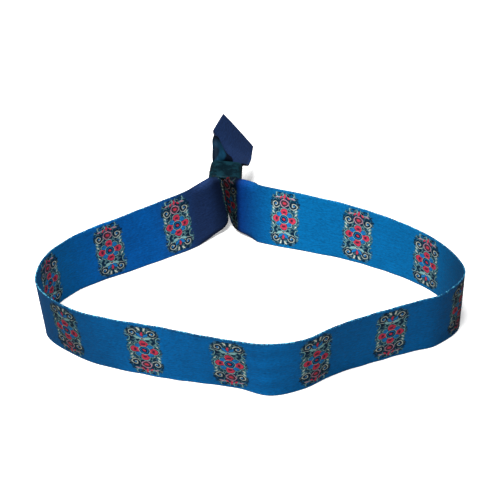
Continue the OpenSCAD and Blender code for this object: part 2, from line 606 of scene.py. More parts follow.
    def bud(self) -> None:
        """Paints the ringed bud under the rosette and the drops that hang from it."""
        dyes = self.dyes
        self.paint(self.disc(self.BUD_PLACE, 1.55), dyes.ink)
        self.paint(self.ring(self.BUD_PLACE, 1.3, 0.26), dyes.rose)
        self.paint(self.disc(self.BUD_PLACE, 0.86), dyes.umber)
        self.paint(self.disc(self.BUD_PLACE, 0.5), dyes.coral)
        self.paint(self.leaf((0.0, -7.95), 90.0, 0.8, 0.34), dyes.coral)
        self.paint(self.leaf((1.15, -7.5), 50.0, 0.72, 0.28), dyes.coral)
        self.paint(self.leaf((2.6, -7.5), 15.0, 0.8, 0.26), dyes.rose, self.inside)

    def rosette(self) -> None:
        """Paints the rosette, whose eight petals are coral and blue by turns."""
        graph, dyes = self.graph, self.dyes
        x, y, _ = graph.split(self.point)
        away = graph.vector("LENGTH", self.point)
        wave = graph.math("COSINE", graph.math("ARCTAN2", y, x) * 4.0) + 0.22
        lobe = graph.math("POWER", abs(wave), 0.45)
        coral = wave.rise(-0.04, 0.04)
        far = away - lobe.linear(coral.linear(0.45, 0.95), 2.4)
        for margin, color in ((0.4, dyes.ink), (0.2, dyes.mint), (0.0, dyes.ink)):
            self.paint(far - margin, color)
        petal = (far + 0.18).highest(abs(wave).linear(-2.2, 0.36))
        self.paint(petal, graph.mix(coral, dyes.sky, dyes.coral))
        seed = abs(away - 2.45) - coral.linear(-0.3, 0.62)
        self.paint(seed.highest(lobe.linear(-2.0, 1.8)), dyes.ink, 0.85)
        self.paint(self.disc(self.MIDDLE, 1.62), dyes.mint)
        self.paint(self.disc(self.MIDDLE, 1.42), dyes.ink)
        self.paint(self.ring(self.MIDDLE, 0.98), dyes.sky)
        self.paint(self.disc(self.MIDDLE, 0.42), dyes.coral)


@dataclass(frozen=True)
class PrintedSatin:
    """The ribbon's finish: azure satin that turns navy towards both ends, with the cartouche on it.

    Places along it are print coordinates: ornament k has its middle at k times the pitch.
    """

    # The node groups of the satin weave and of the ornament
    weave: Tree
    cartouche: Tree
    azure: Color = dye(3, 117, 183)
    # Copies of the azure painted as shade: a little darker on the outer face, and darker and bluer on
    # the inner face towards the left end
    outer_shaded_azure: Color = dye(3, 113, 187)
    left_shaded_azure: Color = dye(3, 103, 190)
    # A darker, bluer copy of the azure, painted as shade by the lock at the right end
    deep: Color = dye(3, 46, 112)
    navy: Color = dye(33, 56, 100)
    thread_light: Color = dye(46, 168, 220)
    pitch: float = 22.63
    motifs: int = 14
    # How strongly the inks cover
    cover: float = 0.96
    # Where the ground starts and ends to turn azure at the right end, out of its painted shade by the lock,
    # and navy at the left one
    azure_span: Span = (4.0, 25.0, 262.0, 279.5)
    # At the right end, where the navy turns to the deep blue, a darker and bluer azure painted as the
    # shade by the lock, and a place beyond which there is no deep blue
    right_navy: Pair = (-8.0, 0.0)
    right_part: float = 100.0
    # Where the inner face turns to the left end's shaded azure
    left_blue: Pair = (222.0, 252.0)
    # Painted shade in the crease where each end's inner face lies against the other one's: where it fades,
    # and how dark it gets there
    right_crease_shade: Span = (4.0, 6.8, 0.07, 1.0)
    left_crease_shade: Span = (282.0, 288.5, 1.0, 0.4)
    # A painted highlight on the right tail's inner face: a lighter azure band that slants along its edge
    fold_highlight: Color = dye(64, 184, 255)
    fold_highlight_span: Span = (-22.6, -19.4, -15.0, -12.0)
    fold_highlight_slant: float = 1.1
    fold_highlight_band: Span = (6.6, 7.8, 9.2, 10.2)
    # Across the strip, where the light thread begins to show between the floats, and how much
    rim_span: Span = (9.4, 9.85, 0.0, 0.4)
    # How much the streaks and the mottle change the tone, and the tone without them
    streak_tone: Pair = (0.74, 0.63)
    mottle_tone: Pair = (0.3, 0.85)
    sheen: Sheen = Sheen((0.16, 0.5), 0.08, (0.35, 0.06))
    # Painted shade along each face: where its middle is, how far it reaches to each side, and how much
    # darker it gets there; at the left bend the inner face gets painted light instead, a little brighter
    outer_painted_shade: PaintedShades = ((214.0, 38.0, 0.6), (84.0, 26.0, 0.6), (-14.0, 16.0, 0.5))
    inner_painted_shade: PaintedShades = ((84.0, 22.0, 0.65), (229.0, 26.0, -0.28))

    def fold_highlight_share(self, along: Value, across: Value, mottle: Value) -> Value:
        """Returns how much of the painted highlight on the right tail's fold shows.

        Args:
            along: The place along the print.
            across: The place across the strip.
            mottle: The weave's mottle.

        Returns:
            The share, from 0 to 1.
        """
        start, full, low, end = self.fold_highlight_band
        slanted = along.linear(self.fold_highlight_slant, across) - self.fold_highlight_span[1] * self.fold_highlight_slant
        faint = across.rise(2.0, 6.5) * mottle.rise(0.36, 0.6, 0.2, 0.6)
        band = slanted.rise(start, full).highest(faint) * slanted.rise(low, end, 1.0, 0.0)
        return along.window(*self.fold_highlight_span) * band

    def build(self, face: RibbonFace) -> Material:
        """Makes the material of one face.

        Args:
            face: The face, on which the ornament stands upright or upside down.

        Returns:
            The material.
        """
        inner = face is RibbonFace.INNER
        finish = Finish(f"printed_satin_{face.name.lower()}")
        along, across, _ = finish.split(finish.out("ShaderNodeUVMap", {}, uv_map=Ribbon.STRIP_MAP))
        number = finish.math("ROUND", along / self.pitch)
        local, upright = number.linear(-self.pitch, along), across * (-1.0 if inner else 1.0)
        printed = finish.group(self.cartouche, Along=local, Across=upright)
        woven = finish.group(self.weave, Along=along, Across=across)
        streak, mottle = woven["Streak"], woven["Mottle"]
        azure = along.window(*self.azure_span)
        # The plain azure of each face, with its painted shade
        plain: object = self.outer_shaded_azure
        if inner:
            plain = finish.mix(along.rise(*self.left_blue), self.azure, self.left_shaded_azure)
        # By the lock at the right end, the ground is the azure's painted shade
        blue = along.rise(*self.right_navy) * finish.math("LESS_THAN", along, self.right_part)
        color = finish.mix(azure, finish.mix(blue, self.navy, self.deep), plain)
        among = finish.math("COMPARE", number, (self.motifs - 1) / 2, self.motifs / 2)
        color = finish.mix(printed["Ink"] * among * self.cover, color, printed["Color"])
        if inner:
            # Painted highlight on the right tail's fold
            color = finish.mix(self.fold_highlight_share(along, across, mottle), color, self.fold_highlight)
        rim = azure * abs(across).rise(*self.rim_span)
        color = finish.mix(rim * streak.rise(0.5, 0.9), color, self.thread_light)
        shade = streak.linear(*self.streak_tone) * mottle.linear(*self.mottle_tone)
        # Painted shade in the crease by the lock, where both ends' inner faces meet
        if inner:
            shade = shade * along.rise(*self.right_crease_shade) * along.rise(*self.left_crease_shade)
        # Painted shade at the bends and on the tail, and painted light on the inner face by the left bend
        for middle, reach, shade_change in self.inner_painted_shade if inner else self.outer_painted_shade:
            shade = shade * abs(along - middle).rise(0.0, reach, 1.0 - shade_change, 1.0)
        color = finish.mix(1.0, color, finish.combine(shade, shade, shade), "MULTIPLY")
        height = streak.linear(0.8, woven["Height"])
        return finish.dress(color, streak, height, self.sheen)


@dataclass(frozen=True)
class SelvedgeThread:
    """The finish of the ribbon's woven edges, where the light thread shows from under the print."""

    light: Color = dye(84, 172, 200)
    dark: Color = dye(3, 56, 92)
    navy: Color = dye(16, 26, 54)
    sheen: Sheen = Sheen((0.2, 0.4), 0.2, (0.3, 0.03))

    def build(self, satin: PrintedSatin) -> Material:
        """Makes the material, which reads the place along the print from the piece's own attribute.

        Args:
            satin: The ribbon's finish, whose azure and whose painted shade at the right bend the threads
                follow.

        Returns:
            The material.
        """
        finish = Finish("selvedge_thread")
        along = finish.out("ShaderNodeAttribute", {}, "Fac", attribute_name=Ribbon.PRINT_PLACE)
        place = finish.object_place()
        patch = finish.noise(place, 1900.0, 3.0).rise(0.46, 0.66)
        speckled = finish.mix(patch, self.dark, self.light)
        color = finish.mix(along.window(*satin.azure_span), self.navy, speckled)
        # Painted shade: the threads darken round the right bend, as the outer face does
        middle, reach, shade_change = satin.outer_painted_shade[1]
        color = finish.mix(abs(along - middle).rise(0.0, reach, shade_change, 0.0), color, self.dark)
        return finish.dress(color, patch, finish.noise(place, 6000.0), self.sheen)


@dataclass(frozen=True)
class SmokyPlastic:
    """The lock's finish: dark moulded plastic, finely mottled, with painted light at its near lip."""

    dark: Color = dye(2, 18, 26)
    mottle: Color = dye(8, 40, 50)
    speck_and_lip_light: Color = dye(16, 64, 78)
    # From where to where the painted light at the lip fades, and its share at each of them
    lip_light_span: Span = (0.1 * MM, 1.1 * MM, 0.25, 0.0)
    sheen: Sheen = Sheen((0.16, 0.46), 0.07, (0.25, 0.04))

    def build(self, mouth: Array, way: Array) -> Material:
        """Makes the material.

        Args:
            mouth: The middle of the lock's mouth, in metres.
            way: The way that the lock points, with length one.

        Returns:
            The material.
        """
        finish = Finish("smoky_plastic")
        place = finish.object_place()
        cloud = finish.noise(place, 420.0, 3.0, 0.6).rise(0.4, 0.66)
        speck = finish.noise(place, 2600.0).rise(0.58, 0.7, 0.0, 0.3)
        color = finish.mix(speck, finish.mix(cloud, self.dark, self.mottle), self.speck_and_lip_light)
        deep = finish.vector("DOT_PRODUCT", finish.vector("SUBTRACT", place, tuple(mouth)), tuple(way))
        # Painted light at the near lip, as if light showed through the thin plastic; the same colour makes
        # the specks
        color = finish.mix(deep.rise(*self.lip_light_span) * cloud, color, self.speck_and_lip_light)
        return finish.dress(color, cloud, finish.noise(place, 1800.0, 3.0), self.sheen)


# ---------------------------------------------------------------- the lock's place


@dataclass
class LockPlace:
    """Where the slide lock is, which way it points, and its sizes."""

    width: float = 10.0
    height: float = 9.6
    length: float = 8.8
    wall: float = 0.9
    corner: float = 1.8
    passage_corner: float = 0.8
    yaw: float = 6.0
    roll: float = 6.0
    mouth: Triple = (-7.1, 17.1, 10.8)
    way: Array = field(init=False)
    side: Array = field(init=False)
    up: Array = field(init=False)

    def __post_init__(self) -> None:
        """Works out the way along the passage to the tails, and the lock's own right and up."""
        yaw, roll = math.radians(self.yaw), math.radians(self.roll)
        level = np.array([math.cos(yaw), -math.sin(yaw), 0.0])
        sky = np.array([0.0, 0.0, 1.0])
        self.way = np.array([math.sin(yaw), math.cos(yaw), 0.0])
        self.side = level * math.cos(roll) - sky * math.sin(roll)
        self.up = level * math.sin(roll) + sky * math.cos(roll)


# ---------------------------------------------------------------- the ribbon

# x and y of the standing strip's upper edge, and how far it leans out past the lower edge,
# from the lock round the right bend, the front and the left bend
LOOP = (
    (3.5, 6.2, 2.9), (14.7, 1.2, 2.3), (32.5, -8.0, 0.8), (48.3, -20.1, -0.5), (54.4, -28.1, -0.6),
    (57.1, -38.0, 0.0), (50.5, -45.7, 1.1), (41.1, -48.9, 1.6), (22.2, -55.3, 1.9), (12.5, -60.2, 1.8),
    (3.3, -61.3, 1.2), (-6.3, -58.9, 2.3), (-25.3, -52.6, 1.0), (-44.2, -46.1, 1.3), (-52.5, -40.7, 1.2),
    (-58.6, -32.5, 0.0), (-57.4, -22.4, -0.5), (-51.2, -14.7, -0.3), (-34.2, -4.3, 1.6), (-16.9, 5.8, 2.9),
)
# The angle after which a roll goes straight on, on the standing strip, and where nothing limits it
ROLL_STANDING = 165.0
ROLL_FREE = 400.0
# Sections outside the loop: upper edge, lower edge, bulge outwards, how much more the upper
# edge is rolled than the lower one, from -1 to 1, and the angle after which a roll goes straight on.
# Those at the lock's mouth have only their edges, and the last three numbers are PLAIN
PLAIN = (0.0, 0.0, ROLL_FREE)
RIGHT_TAIL = (
    ((-6.1, 36.2, 26.4), (2.9, 42.0, 9.1), 0.2, 0.0, 165.0),
    ((-10.3, 31.6, 21.6), (1.85, 37.3, 7.4), 0.5, 0.9, 193.0),
    ((-10.45, 30.5, 19.9), (1.3, 34.4, 8.2), 0.45, 0.93, 196.0),
    ((-10.4, 29.4, 18.3), (0.7, 31.4, 9.1), 0.4, 0.95, 198.0),
    ((-10.5, 27.6, 15.0), (-1.2, 28.2, 11.2), 0.3, 0.6, 198.0),
)
RIGHT_MOUTH = (
    ((-7.0, 15.7, 16.0), (-5.75, 12.0, 3.3)),
    ((-5.1, 13.6, 17.3), (-4.9, 9.8, 1.4)),
    ((-2.2, 10.4, 18.3), (-2.85, 7.2, 0.6)),
)
LEFT_MOUTH = (
    ((-11.3, 10.6, 18.9), (-9.6, 7.5, 0.4)),
    ((-9.6, 13.0, 18.2), (-7.0, 9.6, 1.6)),
    ((-7.7, 15.7, 16.2), (-6.15, 12.0, 3.3)),
)
LEFT_TAIL = (
    ((-8.9, 28.6, 10.9), (-2.2, 29.0, 8.0), 0.4, 0.0, ROLL_FREE),
    ((-8.7, 33.2, 16.8), (-0.6, 34.0, 6.3), 0.6, 0.0, ROLL_FREE),
)
# Distance along the strip, from the first section after the lock, of each printed ornament's middle
MOTIF_PLACES = (1.4, 21.6, 45.0, 67.8, 88.4, 111.1, 133.1, 156.7, 180.1, 203.7, 226.6, 247.9, 270.1)


def travelled(middle: Array) -> Array:
    """Returns the distance along a line of points, from its first point to each one."""
    return np.concatenate([[0.0], np.cumsum(np.linalg.norm(np.diff(middle, axis=0), axis=1))])


@dataclass
class Ribbon:
    """The whole strip of cloth, from the right tail's cut end round the loop to the left one's."""

    STRIP_MAP = "strip"
    BAKE_MAP = "OFBake"
    PRINT_PLACE = "print_place"

    lock: LockPlace
    width: float = 20.0
    thickness: float = 0.36
    # Distance between stations, and how finely the curve between two sections is drawn first
    step: float = 0.5
    substeps: int = 24
    # Places across the cloth: the even ones with their share of the width, and two near each edge
    even_places: int = 39
    even_share: float = 0.94
    edge_places: Pair = (0.9, 0.985)
    # Half the height of a rolled end in the lock, at its mouth, half way and at its far face, and how
    # far it turns from each of these to the next
    rolled: Triple = (3.5, 2.95, 3.5)
    stage_turn: float = 45.0
    # Distance of a rolled end's flat part from the middle of the passage
    beside: float = 0.34
    # How far before the lock's mouth the rolled part starts, and how far short of its far face it ends
    lead: float = 0.4
    stop: float = 0.2
    # The radius at which an end bends where it is all rolled up and where it is flat, how fast it
    # goes from one to the other, how much tighter it bends at its edge, and how gently it starts
    tight_radius: float = 1.25
    loose_radius: float = 6.0
    loosening: int = 12
    tightening: float = 1.7
    onset: float = 0.8
    # How many places a roll is worked out at, and how often the range of its start is halved
    roll_places: int = 161
    halvings: int = 26
    # How flat an end has to be where the cloth's waves begin, and how much flatter where they are full
    calm: Pair = (0.85, 0.15)
    # How far the rim stands out past the last place across
    rim_reach: float = 0.12
    # How far the edge threads stand out from the cloth's middle, across its thickness
    thread_depth: float = 0.34
    # How many stations to each side are lifted with one that would be in the floor
    lift_span: int = 4
    # Heights of the long and of the short waves, of the wrinkles by the crease and of the edges' frill
    wave_heights: Span = (0.05, 0.03, 0.045, 0.07)
    # Where the front's crossing crease is, and how far it reaches
    crease: Pair = (146.0, 9.0)
    # Rows of each face on the bake map, the margin at their ends, the room that is added to their
    # height and length, how far the rim is past the edge, and a cut end's far side past the strip's end
    rows: int = 3
    margin: float = 0.012
    room: Pair = (0.9, 1.0)
    rim_past: float = 0.3
    cut_past: float = 0.45
    stations: Array = field(init=False)
    reach: Array = field(init=False)
    surface: Array = field(init=False)
    normals: Array = field(init=False)
    print_place: Array = field(init=False)

    def rolled_section(self, side: int, stage: int) -> Array:
        """Returns one section of a rolled end inside the lock.

        Args:
            side: 1 for the right end and -1 for the left one.
            stage: 0 at the mouth, 1 half way and 2 at the far face, where it has turned by 90 degrees.

        Returns:
            Upper edge, lower edge, bulge, roll difference and roll angle in one row.
        """
        lock, turn = self.lock, math.radians(self.stage_turn * stage)
        along = -self.lead + (lock.length - self.stop + self.lead) * stage / 2
        off = (lock.side * math.cos(turn) + lock.up * math.sin(turn)) * side * self.beside
        middle = np.array(lock.mouth) + lock.way * along + off
        half = (lock.up * math.cos(turn) - lock.side * math.sin(turn)) * self.rolled[stage]
        return np.concatenate([middle + half, middle - half, PLAIN])

    def standing_sections(self) -> Array:
        """Works out the loop's sections.

        Returns:
            The sections as rows; their lower edges are on the plane at z = 0.
        """
        loop = np.array(LOOP)
        place, flare = loop[:, :2], loop[:, 2:]
        way = unit(np.gradient(place, axis=0))
        foot = place - np.stack([-way[:, 1], way[:, 0]], axis=1) * flare
        height, none = np.sqrt(self.width ** 2 - flare ** 2), np.zeros_like(flare)
        return np.hstack([place, height, foot, none, none, none, none + ROLL_STANDING])

    def sections(self) -> tuple[Array, int]:
        """Puts all sections in order.

        Returns:
            The sections as rows, and the number of the first one after the lock.
        """
        tail, right, left, other_tail = (
            np.array([[*top, *foot, *(rest or PLAIN)] for top, foot, *rest in table])
            for table in (RIGHT_TAIL, RIGHT_MOUTH, LEFT_MOUTH, LEFT_TAIL)
        )
        right_roll = [self.rolled_section(1, stage) for stage in (2, 1, 0)]
        left_roll = [self.rolled_section(-1, stage) for stage in (0, 1, 2)]
        rows = [tail, right_roll, right, self.standing_sections(), left, left_roll, other_tail]
        return np.vstack(rows), len(tail) + len(right_roll)

    def smooth(self) -> tuple[Array, float]:
        """Draws a smooth curve through the sections, and cuts it into even steps.

        Returns:
            The fine sections, a multiple of the bake rows plus one, and the distance along the
            strip of the first section after the lock.
        """
        rows, first = self.sections()
        gaps = np.sqrt(np.diff(travelled((rows[:, 0:3] + rows[:, 3:6]) / 2)))
        gaps = np.concatenate([gaps[:1], gaps, gaps[-1:]])
        padded = np.vstack([2 * rows[0] - rows[1], rows, 2 * rows[-1] - rows[-2]])
        parts = []
        for number in range(len(rows) - 1):
            knots = np.concatenate([[0.0], np.cumsum(gaps[number:number + 3])])
            times = (knots[1] + (knots[2] - knots[1]) * np.arange(self.substeps) / self.substeps)[:, None]
            curves = list(padded[number:number + 4])
            # Three rounds of straight mixes, the last one only between the two middle knots
            for spread, starts in ((1, (0, 1, 2)), (2, (0, 1)), (1, (1,))):
                curves = [
                    (curves[k] * (knots[start + spread] - times) + curves[k + 1] * (times - knots[start]))
                    / (knots[start + spread] - knots[start])
                    for k, start in enumerate(starts)
                ]
            parts.append(curves[0])
        fine = np.vstack([*parts, rows[-1:]])
        length = travelled((fine[:, 0:3] + fine[:, 3:6]) / 2)
        count = self.rows * math.ceil(length[-1] / self.step / self.rows) + 1
        self.stations = np.linspace(0.0, length[-1], count)
        resampled = np.stack([np.interp(self.stations, length, column) for column in fine.T], axis=1)
        return resampled, length[first * self.substeps]

    def rolled_curve(self, target: Array, radius: Array, limit: Array, reach: Array) -> tuple[Array, Array]:
        """Rolls one half of each section outwards, so that it is only as wide as it should be.

        The half is straight from the strip's middle, and then bends ever more tightly.

        Args:
            target: How far each section's half should reach.
            radius: The radius at which each one starts to bend.
            limit: The angle after which each one goes straight on.
            reach: Distances along the cloth from the strip's middle, from 0 to half the width.

        Returns:
            How far along, and how far outwards, each place of each section is.
        """
        fine, step = np.linspace(0.0, reach[-1], self.roll_places, retstep=True)
        low, high = np.zeros(len(target)), np.full(len(target), reach[-1])

        def summed(rate: Array) -> Array:
            """Returns how far each place has come by the rates before it."""
            return np.pad(np.cumsum(rate, axis=1)[:, :-1] * step, ((0, 0), (1, 0)))

        # Halves the range in which the straight part's length is, until it is exact
        for _ in range(self.halvings):
            start = (low + high) / 2
            past = fine[None, :] - start[:, None]
            share = np.clip(past / np.maximum(reach[-1] - start[:, None], 1e-6), 0.0, 1.0)
            bend = np.clip(past / self.onset, 0.0, 1.0) * (1 + (self.tightening - 1) * share)
            turn = np.minimum(np.cumsum(bend / radius[:, None], axis=1) * step, limit[:, None])
            along, out = summed(np.cos(turn)), summed(np.sin(turn))
            wide = along.max(axis=1) > target
            high, low = np.where(wide, start, high), np.where(wide, low, start)
        along = along * (target / along.max(axis=1))[:, None]
        return tuple(np.stack([np.interp(reach, fine, row) for row in part]) for part in (along, out))

    def ripple(self, s: Array, w: Array) -> Array:
        """Returns how far the cloth's own slight waves push it outwards.

        Args:
            s: Distances along the strip from the first section after the lock, as a column.
            w: Distances across it from the strip's middle, as a row.

        Returns:
            The push of each place.
        """
        crease, crease_reach = self.crease
        long, short, wrinkle, frill = self.wave_heights
        waves = long * np.sin(s / 4.9 + 0.06 * w) * np.cos(w / 6.5 + s / 31.0)
        waves = waves + short * np.sin(s / 2.7 - 0.15 * w + 1.3) * np.sin(s / 17.0 + 0.4)
        wrinkles = wrinkle * np.sin(w / 0.95 + 0.5 * np.sin(s / 2.1)) * np.cos((s - crease) / 5.2)
        wrinkles = wrinkles * np.exp(-(((s - crease) / crease_reach) ** 2))
        rim = (np.abs(w) / (self.width / 2)) ** 6
        edge = frill * rim * np.sin(s / 1.35 + 2.0 * np.sin(s / 9.0)) * (0.4 + 0.6 * np.sin(s / 23.0) ** 2)
        return waves + wrinkles + edge

    @staticmethod
    def facing(surface: Array) -> Array:
        """Returns the normals of a surface of stations by places, on its outer side."""
        return unit(np.cross(np.gradient(surface, axis=0), -np.gradient(surface, axis=1)))

    def lifted(self, surface: Array) -> Array:
        """Lifts each section just so far that its cloth and its edge threads stay above the floor.

        Args:
            surface: The cloth's middle surface.

        Returns:
            The lifted surface.
        """
        lowest = self.rim_reach + self.thread_depth * np.abs(self.facing(surface)[..., 2])
        lift = np.maximum((lowest - surface[..., 2]).max(axis=1), 0.0)
        window = 2 * self.lift_span + 1
        padded = np.pad(lift, 2 * self.lift_span, mode="edge")
        highest = np.lib.stride_tricks.sliding_window_view(padded, window).max(axis=1)
        raised = surface.copy()
        raised[..., 2] += np.convolve(highest, np.full(window, 1 / window), mode="valid")[:, None]
        return raised

    def shape(self, pitch: float) -> None:
        """Works out the cloth's middle surface, its normals and the print's place along it.

        Args:
            pitch: The distance between two ornaments in the print's own coordinates.
        """
        rows, lead = self.smooth()
        top, foot = rows[:, 0:3] + TO_ROW, rows[:, 3:6] + TO_ROW
        bulge, skew, limit = rows[:, 6:7], rows[:, 7], np.radians(rows[:, 8])
        half_width = self.width / 2
        middle = (top + foot) / 2
        up = unit(top - foot)
        half = np.minimum(np.linalg.norm(top - foot, axis=1) / 2, half_width)
        out = unit(np.cross(np.gradient(middle, axis=0), -up))
        share = np.clip((half - self.rolled[1]) / (half_width - self.rolled[1]), 0.0, 1.0)
        radius = self.tight_radius + (self.loose_radius - self.tight_radius) * share ** self.loosening
        edges = np.array([*self.edge_places, 1.0])
        inner = np.linspace(-1.0, 1.0, self.even_places) * self.even_share
        self.reach = np.unique(np.concatenate([inner, -edges, edges])) * half_width
        spare = skew * (half_width - half)
        above, below = self.reach[self.reach >= -1e-9], -self.reach[self.reach <= 1e-9][::-1]
        up_along, up_out = self.rolled_curve(half - spare, radius, limit, above)
        down_along, down_out = self.rolled_curve(half + spare, radius, limit, below)
        along = np.concatenate([-down_along[:, ::-1], up_along[:, 1:]], axis=1) + spare[:, None]
        bend = np.concatenate([down_out[:, ::-1], up_out[:, 1:]], axis=1)
        bow = bulge * (1 - np.clip(along / half[:, None], -1, 1) ** 2)
        # The waves fade out where an end begins to roll up
        calm = np.clip((share[:, None] - self.calm[0]) / self.calm[1], 0.0, 1.0)
        bend = bend + bow + calm * self.ripple(self.stations[:, None] - lead, self.reach[None, :])
        surface = middle[:, None] + up[:, None] * along[..., None] + out[:, None] * bend[..., None]
        self.surface = self.lifted(surface)
        self.normals = self.facing(self.surface)
        places = np.array(MOTIF_PLACES) + lead
        printed = np.interp(self.stations, places, np.arange(len(places)) * pitch)
        before, past = self.stations - places[0], self.stations - places[-1]
        self.print_place = printed + np.minimum(before, 0.0) + np.maximum(past, 0.0)
        LOG.info("strip %.1f mm long, %d stations", self.stations[-1], len(self.stations))
        LOG.info("print place of the cut ends: %.1f, %.1f", self.print_place[0], self.print_place[-1])

    def edge_lines(self, edge: Edge) -> tuple[Array, Array, Array]:
        """Returns a woven edge's line, the way out of the cloth there and the outer face's normals."""
        line, beside = (self.surface[:, column] for column in edge.value)
        return line, unit(line - beside), self.normals[:, edge.value[0]]

    def rings(self) -> tuple[Array, Array]:
        """Returns the points round the cloth at each station, and each one's distance across.

        A ring runs over the outer face from the lower to the upper edge, round the rim, and
        back over the inner face.

        Returns:
            The points of each station, and the distances.
        """
        shift = self.normals * (self.thickness / 2)
        upper, lower = ((line + way * self.rim_reach)[:, None] for line, way, _ in map(self.edge_lines, Edge))
        points = np.concatenate([self.surface + shift, upper, (self.surface - shift)[:, ::-1], lower], axis=1)
        past = self.width / 2 + self.rim_past
        return points, np.concatenate([self.reach, [past], self.reach[::-1], [-past]])

    def mesh(self) -> Mesh:
        """Builds the closed mesh with its two UV maps and its material slots.

        The strip's own map is in millimetres along the print and across the strip. The bake map
        holds each face in rows of equal length.

        Returns:
            The mesh.
        """
        points, reach = self.rings()
        count, ring = points.shape[:2]
        m = len(self.reach)
        quads = wall_faces(count, ring, closed=False)
        station, corner = quads[:, 0] // ring, quads[:, 0] % ring
        on_inner = (corner >= m) & (corner < 2 * m + 1)
        row = station * self.rows // (count - 1) + self.rows * on_inner
        rim_slot = len(RibbonFace)
        slots = np.full(len(quads), rim_slot)
        slots[corner < m - 1] = RibbonFace.OUTER.value
        slots[(corner > m) & (corner < 2 * m)] = RibbonFace.INNER.value
        # The cut ends: quads between the faces, and a triangle at each rim
        caps = [(k, k + 1, 2 * m - k - 1, 2 * m - k) for k in range(m - 1)]
        tips = [(m, m + 1, m - 1), (0, 2 * m, 2 * m + 1)]
        faces = quads.tolist()
        for shapes in (caps, tips):
            for first, order in ((0, -1), ((count - 1) * ring, 1)):
                faces += [[first + k for k in shape[::order]] for shape in shapes]
        cut = 2 * (len(caps) + len(tips))
        cut_rows = np.repeat([0, self.rows - 1] * 2, np.repeat([len(caps), len(tips)], 2))
        corners = [len(face) for face in faces]
        row = np.repeat(np.concatenate([row, cut_rows]), corners)
        is_cut = np.repeat(np.arange(len(faces)) >= len(quads), corners)
        station, corner = np.divmod(np.concatenate(faces), ring)
        # A cut end's far side lies a little past the strip's own end on the bake map
        past = np.where(is_cut & (corner > m) & (corner <= 2 * m), np.where(station > 0, 1.0, -1.0), 0.0)
        past, long = past * self.cut_past, self.stations[-1] / self.rows
        s = self.stations[station] + past - (row % self.rows) * long
        u = self.margin + s / (long + self.room[1]) * (1 - 2 * self.margin)
        v = (row + 0.5 + reach[corner] / (self.width + self.room[0])) / (2 * self.rows)
        maps = {
            self.STRIP_MAP: (self.print_place[station], reach[corner]),
            self.BAKE_MAP: (u, v),
        }
        mesh = new_mesh("ribbon", points.reshape(-1, 3), faces)
        for name, values in maps.items():
            layer = mesh.uv_layers.new(name=name)
            layer.data.foreach_set("uv", np.stack(values, axis=-1).astype(np.float32).ravel())
        slots = np.concatenate([slots, np.full(cut, rim_slot)]).astype(np.int32)
        mesh.polygons.foreach_set("material_index", slots)
        mesh.shade_smooth()
        write_attribute(mesh, self.PRINT_PLACE, np.repeat(self.print_place, ring))
        return mesh

    def build(self, satin: PrintedSatin, thread: Material) -> Piece:
        """Makes the ribbon's piece and dresses it.

        Args:
            satin: The finish of both faces.
            thread: The material of the rims and the cut ends.

        Returns:
            The piece.
        """
        self.shape(satin.pitch)
        piece = linked("ribbon", self.mesh())
        for material in (*map(satin.build, RibbonFace), thread):
            piece.data.materials.append(material)
        return piece


